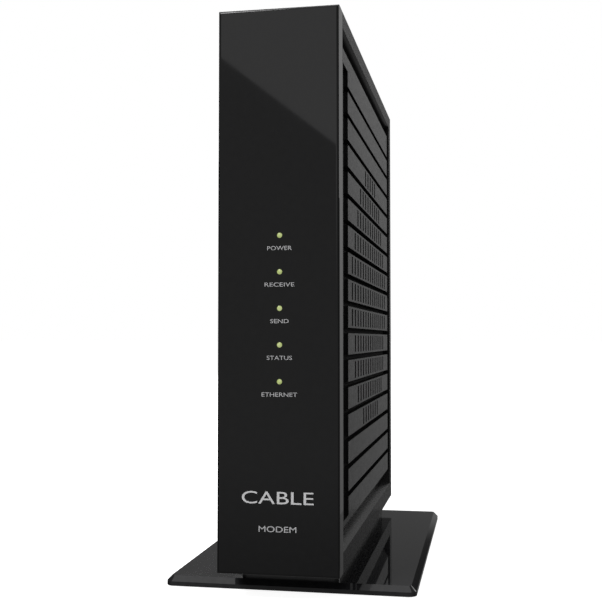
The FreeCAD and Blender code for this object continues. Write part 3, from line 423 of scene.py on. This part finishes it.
def connector():
    """The same connector as the CAD one, its thread made as rings at the standard 32 per inch."""
    low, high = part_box("coax_body")
    centre = (low + high) / 2
    wall_y = low.y + CONNECTOR_BASE_DEPTH
    first, last = wall_y + CONNECTOR_NECK_LENGTH, high.y - THREAD_RUNOUT
    outline = [(wall_y, CONNECTOR_NECK_R), (first, CONNECTOR_NECK_R), *thread(first, last),
               (last, CONNECTOR_NECK_R), (high.y, THREAD_ROOT_R), (high.y, CONNECTOR_BORE_R),
               (wall_y, CONNECTOR_BORE_R)]
    mesh = tube("coax_threaded_body", outline, centre.x, centre.z)
    barrel = bpy.data.objects.new("coax_threaded_body", mesh)
    bpy.context.scene.collection.objects.link(barrel)
    bore_end = wall_y - CONNECTOR_BORE_DEPTH
    base = block_with_bore(low, (high.x, wall_y, high.z), centre, CONNECTOR_BORE_R, bore_end)
    work = bmesh.new()
    work.from_mesh(barrel.data)
    work.from_mesh(base)
    bmesh.ops.recalc_face_normals(work, faces=work.faces)
    for face in work.faces:
        face.smooth = False
    work.to_mesh(barrel.data)
    work.free()
    bpy.data.meshes.remove(base)
    barrel.data.materials.append(NICKEL)
    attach(barrel, "modem")
    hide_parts("coax_body")


def block_with_bore(low, high, centre, radius, bottom_y, segments=48):
    """A block from low to high whose +Y face has a round blind hole, bottoming at bottom_y."""
    work = bmesh.new()
    corners = [(high[0], high[2]), (low[0], high[2]), (low[0], low[2]), (high[0], low[2])]
    front = [work.verts.new((x, low[1], z)) for x, z in corners]
    rear = [work.verts.new((x, high[1], z)) for x, z in corners]
    work.faces.new(front)
    for i in range(4):
        work.faces.new((front[i], rear[i], rear[(i + 1) % 4], front[(i + 1) % 4]))
    turns = [2 * math.pi * (j + 0.5) / segments for j in range(segments)]
    rim = []
    for turn in turns:
        x, z = centre.x + radius * math.cos(turn), centre.z + radius * math.sin(turn)
        rim.append(work.verts.new((x, high[1], z)))
    deep = [work.verts.new((v.co.x, bottom_y, v.co.z)) for v in rim]
    work.faces.new(deep)
    for j in range(segments):
        work.faces.new((rim[j], deep[j], deep[(j + 1) % segments], rim[(j + 1) % segments]))
    share = segments // 4
    for i in range(4):
        middle = share // 2 + share * i
        arc = [rim[(middle + k) % segments] for k in range(share + 1)]
        work.faces.new((rear[i], *arc, rear[(i + 1) % 4]))
    mesh = bpy.data.meshes.new("coax_base")
    work.to_mesh(mesh)
    work.free()
    return mesh


connector()


# ---- camera --------------------------------------------------------------------------------------------
CAMERA_X, CAMERA_Z, CAMERA_DISTANCE = 67.48 * MM, 86.74 * MM, 316.84 * MM
CAMERA_RISE, CAMERA_TURN = 0.0384, 0.1861              # radians, up and to the left
SENSOR_WIDTH, LENS = 36.0, 58.89
CLIP_NEAR, CLIP_FAR = 0.01, 50.0

camera = bpy.data.objects.new("camera", bpy.data.cameras.new("camera"))
bpy.context.scene.collection.objects.link(camera)
bpy.context.scene.camera = camera
camera.data.sensor_width = SENSOR_WIDTH
camera.data.lens = LENS
camera.location = (CAMERA_X, FACE_Y - CAMERA_DISTANCE, CAMERA_Z)
camera.rotation_euler = Euler((math.pi / 2 + CAMERA_RISE, 0.0, CAMERA_TURN))
camera.data.clip_start, camera.data.clip_end = CLIP_NEAR, CLIP_FAR


# ---- floor, backdrop and lights ------------------------------------------------------------------------
STUDIO_GREY = 0.12
FRONT_GLOW = 0.2
FRONT_FADE = (-0.8, -0.1)              # from full to none, by the direction's Y
FRONT_LOW_FADE = (-0.26, -0.1)         # dimmer below this, by the direction's Z
FRONT_LOW_SHARE = 0.35
STRIP_LEFT, STRIP_RIGHT = (0.03, 0.09), (0.17, 0.26)   # edges of the strip behind, as X over Y
STRIP_RISE, STRIP_GLOW = (-0.28, 0.36), (0.04, 0.22)   # how it brightens upwards, by Z
FLAG_DEPTH = 0.85                      # how much light the black cards at the left and right take away
LEFT_FLAG_X, LEFT_FLAG_Y = (-0.6, -0.35), (-0.6, -0.2)
RIGHT_FLAG_IN, RIGHT_FLAG_OUT, RIGHT_FLAG_Y = (0.17, 0.2), (0.4, 0.6), (0.3, 0.6)
SMALLEST_Y = 0.05                      # keeps the division below away from zero
WHITE = (1.0, 1.0, 1.0, 1.0)
FLOOR_REACH, FLOOR_GLOW = 30.0, 0.92


def floor():
    """Almost white by its own glow, seen by the camera only."""
    mesh = bpy.data.meshes.new("floor")
    corners = [(x * FLOOR_REACH, y * FLOOR_REACH, 0) for x, y in ((-1, -1), (1, -1), (1, 1), (-1, 1))]
    mesh.from_pydata(corners, [], [(0, 1, 2, 3)])
    plane = bpy.data.objects.new("floor", mesh)
    bpy.context.scene.collection.objects.link(plane)
    s = Shader("pale_floor", (0.85, 0.85, 0.85), 0.9)
    s.tint(s.noise(6.0, 3.0), (0.84, 0.84, 0.84), (0.86, 0.86, 0.86))
    s.set("Specular IOR Level", 0.0)
    s.set("Emission Color", WHITE)
    s.set("Emission Strength", FLOOR_GLOW)
    mesh.materials.append(s.m)
    plane.visible_glossy = False
    plane.visible_diffuse = False
    plane.visible_transmission = False


def world():
    """White to the camera; to the rest a dim studio, brighter in front and in a strip behind."""
    w = bpy.data.worlds.new("studio")
    bpy.context.scene.world = w
    w.use_nodes = True
    t = w.node_tree
    t.nodes.clear()

    def calculated(operation, *values):
        node = t.nodes.new("ShaderNodeMath")
        node.operation = operation
        for socket, value in zip(node.inputs, values):
            if isinstance(value, float):
                socket.default_value = value
            else:
                t.links.new(value, socket)
        return node.outputs["Value"]

    def step(value, edges, to_low, to_high):
        node = t.nodes.new("ShaderNodeMapRange")
        node.interpolation_type = "SMOOTHSTEP"
        for socket, number in zip(RANGE_SOCKETS, (*edges, to_low, to_high)):
            node.inputs[socket].default_value = number
        t.links.new(value, node.inputs["Value"])
        return node.outputs["Result"]

    def product(first, *others):
        for other in others:
            first = calculated("MULTIPLY", first, other)
        return first

    axes = t.nodes.new("ShaderNodeSeparateXYZ")
    t.links.new(t.nodes.new("ShaderNodeTexCoord").outputs["Generated"], axes.inputs["Vector"])
    x, y, z = axes.outputs["X"], axes.outputs["Y"], axes.outputs["Z"]
    front = product(step(y, FRONT_FADE, FRONT_GLOW, 0.0), step(z, FRONT_LOW_FADE, FRONT_LOW_SHARE, 1.0))
    aside = calculated("DIVIDE", x, calculated("MAXIMUM", y, SMALLEST_Y))
    strip = product(step(aside, STRIP_LEFT, 0.0, 1.0), step(aside, STRIP_RIGHT, 1.0, 0.0),
                    step(z, STRIP_RISE, *STRIP_GLOW))
    left = product(step(x, LEFT_FLAG_X, FLAG_DEPTH, 0.0), step(y, LEFT_FLAG_Y, 0.0, 1.0))
    right = product(step(x, RIGHT_FLAG_IN, 0.0, FLAG_DEPTH), step(x, RIGHT_FLAG_OUT, 1.0, 0.0),
                    step(y, RIGHT_FLAG_Y, 0.0, 1.0))
    lit = calculated("ADD", calculated("ADD", front, strip), STUDIO_GREY)
    level = product(lit, calculated("SUBTRACT", 1.0, calculated("ADD", left, right)))

    out, mix = t.nodes.new("ShaderNodeOutputWorld"), t.nodes.new("ShaderNodeMixShader")
    seen, dim = t.nodes.new("ShaderNodeBackground"), t.nodes.new("ShaderNodeBackground")
    seen.inputs["Color"].default_value = WHITE
    dim.inputs["Color"].default_value = WHITE
    t.links.new(level, dim.inputs["Strength"])
    t.links.new(t.nodes.new("ShaderNodeLightPath").outputs["Is Camera Ray"], mix.inputs["Fac"])
    t.links.new(dim.outputs["Background"], mix.inputs[1])
    t.links.new(seen.outputs["Background"], mix.inputs[2])
    t.links.new(mix.outputs["Shader"], out.inputs["Surface"])


AIM = Vector((0.0, 0.0, 0.1))          # the middle of the body, roughly


def softbox(name, centre, size, radiance):
    """A rectangular light, size wide and high, of this surface brightness, facing the modem."""
    lamp = bpy.data.lights.new(name, "AREA")
    lamp.shape = "RECTANGLE"
    lamp.size, lamp.size_y = size
    lamp.energy = radiance * math.pi * size[0] * size[1]
    box = bpy.data.objects.new(name, lamp)
    bpy.context.scene.collection.objects.link(box)
    facing = (AIM - Vector(centre)).to_track_quat("-Z", "Y").to_matrix().to_4x4()
    box.matrix_world = Matrix.Translation(centre) @ facing
    box.visible_camera = False
    return box


CARD_EDGE = (Vector((-0.183, 0.3587)), Vector((-0.0694, 0.2693)))      # X and Z of two points on it
CARD_SIZE, CARD_DISTANCE, CARD_RADIANCE = (0.6, 0.2), 0.6, 0.46


def diagonal_card():
    """The bright card whose slanting lower edge shows in the polished face."""
    start, end = CARD_EDGE
    along = (end - start).normalized()
    up = Vector((-along.y, along.x))
    middle = (start + end) / 2 + up * CARD_SIZE[1] / 2
    centre = (middle.x, FACE_Y - CARD_DISTANCE, middle.y)
    lamp = softbox("diagonal_card", centre, CARD_SIZE, CARD_RADIANCE)
    upright = Matrix.Rotation(math.pi / 2, 4, "X") @ Matrix.Rotation(math.atan2(along.y, along.x), 4, "Z")
    lamp.matrix_world = Matrix.Translation(centre) @ upright


floor()
world()
diagonal_card()
softbox("overhead", (-0.1, -0.1, 1.3), (1.2, 1.2), 0.9)
softbox("left_key", (-0.7, -1.2, 1.5), (0.6, 0.6), 20.0)
softbox("rear_fill", (-0.7, 1.5, 0.9), (0.9, 0.9), 3.0)
softbox("rear_right_fill", (1.3, 1.3, 0.8), (0.8, 0.8), 2.0)
bpy.context.scene.view_settings.view_transform = "Standard"
